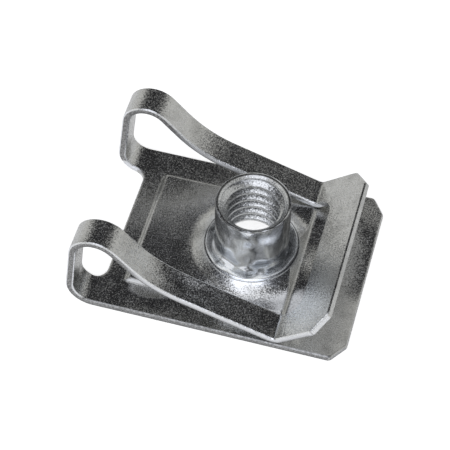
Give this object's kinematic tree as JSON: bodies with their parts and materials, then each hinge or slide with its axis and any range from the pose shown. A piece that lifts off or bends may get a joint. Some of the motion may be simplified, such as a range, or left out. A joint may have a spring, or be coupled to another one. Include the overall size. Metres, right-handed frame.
{
  "type": "clip nut",
  "caption": "Sprung sheet-metal clip nut: a folded strip with two rear loops, sprung arms, a lead-in lip and a drawn, threaded barrel.",
  "frame": {"origin": "on the thread's axis, at the thread's lower mouth, where the screw enters", "axes": "+Z along the thread's axis from the plate up through the barrel, +X from the loops to the lead-in lip, +Y across the clip"},
  "size_m": [0.0263, 0.019, 0.0098],
  "materials": {
    "zinc_plated_steel": "bright zinc plated spring steel, slightly grainy and tumbled"
  },
  "bodies": {
    "root": {"clip_nut": "zinc_plated_steel"}
  },
  "joints": []
}
